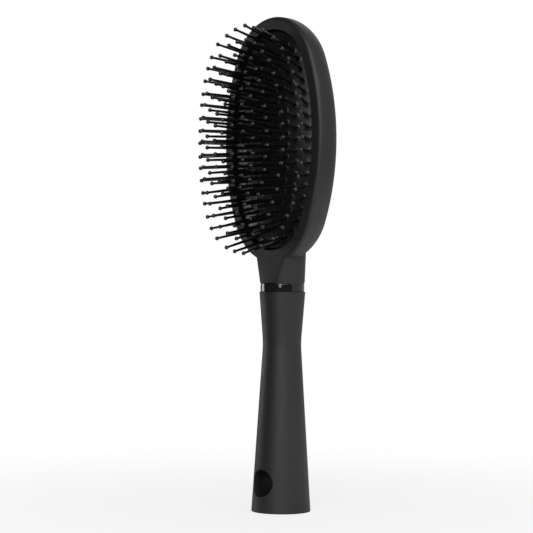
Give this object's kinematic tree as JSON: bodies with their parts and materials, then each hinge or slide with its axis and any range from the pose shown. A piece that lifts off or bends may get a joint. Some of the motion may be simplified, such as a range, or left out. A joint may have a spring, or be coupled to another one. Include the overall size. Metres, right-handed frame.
{
  "type": "cushion hair brush",
  "caption": "Oval cushion hair brush with ball-tipped nylon pins on a domed rubber air cushion, a gloss ferrule ring and a round tapered handle with a hang hole.",
  "frame": {"origin": "centre of the flat end of the handle", "axes": "+Z along the handle towards the head, the pins point along -Y, +X across the head"},
  "size_m": [0.0766, 0.0481, 0.2396],
  "materials": {
    "soft_touch": "soft-touch lacquer, matt charcoal black",
    "cushion_rubber": "matt black rubber",
    "inner_plastic": "as moulded",
    "ferrule_gloss": "polished black",
    "plug_plastic": "as moulded black",
    "pin_nylon": "polished black nylon"
  },
  "bodies": {
    "brush_body": {"head_body": "soft_touch", "cushion": "cushion_rubber", "cushion_hoop": "inner_plastic", "ferrule": "ferrule_gloss", "handle_sleeve": "soft_touch", "end_plug": "plug_plastic"},
    "centre_pins": {"pins_centre_row": "pin_nylon"},
    "ring_1_pins": {"pins_ring_1": "pin_nylon"},
    "ring_2_pins": {"pins_ring_2": "pin_nylon"},
    "ring_3_pins": {"pins_ring_3": "pin_nylon"},
    "ring_4_pins": {"pins_ring_4": "pin_nylon"},
    "ring_5_pins": {"pins_ring_5": "pin_nylon"}
  },
  "joints": [
    {"name": "cushion_press", "type": "slide", "parent": "brush_body", "child": "centre_pins", "axis": [0, 1, 0], "range_m": [0, 0.0042], "stiffness_N_per_m": 1500, "deforming": ["cushion"]},
    {"name": "ring_1_press", "type": "slide", "parent": "brush_body", "child": "ring_1_pins", "axis": [0, 1, 0], "range_m": [0, 0.0012]},
    {"name": "ring_2_press", "type": "slide", "parent": "brush_body", "child": "ring_2_pins", "axis": [0, 1, 0], "range_m": [0, 0.0024]},
    {"name": "ring_3_press", "type": "slide", "parent": "brush_body", "child": "ring_3_pins", "axis": [0, 1, 0], "range_m": [0, 0.00322]},
    {"name": "ring_4_press", "type": "slide", "parent": "brush_body", "child": "ring_4_pins", "axis": [0, 1, 0], "range_m": [0, 0.00376]},
    {"name": "ring_5_press", "type": "slide", "parent": "brush_body", "child": "ring_5_pins", "axis": [0, 1, 0], "range_m": [0, 0.0041]}
  ],
  "couplings": [
    {"joint": "ring_1_press", "follows": "cushion_press", "ratio": 0.2621},
    {"joint": "ring_2_press", "follows": "cushion_press", "ratio": 0.5469},
    {"joint": "ring_3_press", "follows": "cushion_press", "ratio": 0.7439},
    {"joint": "ring_4_press", "follows": "cushion_press", "ratio": 0.8718},
    {"joint": "ring_5_press", "follows": "cushion_press", "ratio": 0.9522}
  ]
}
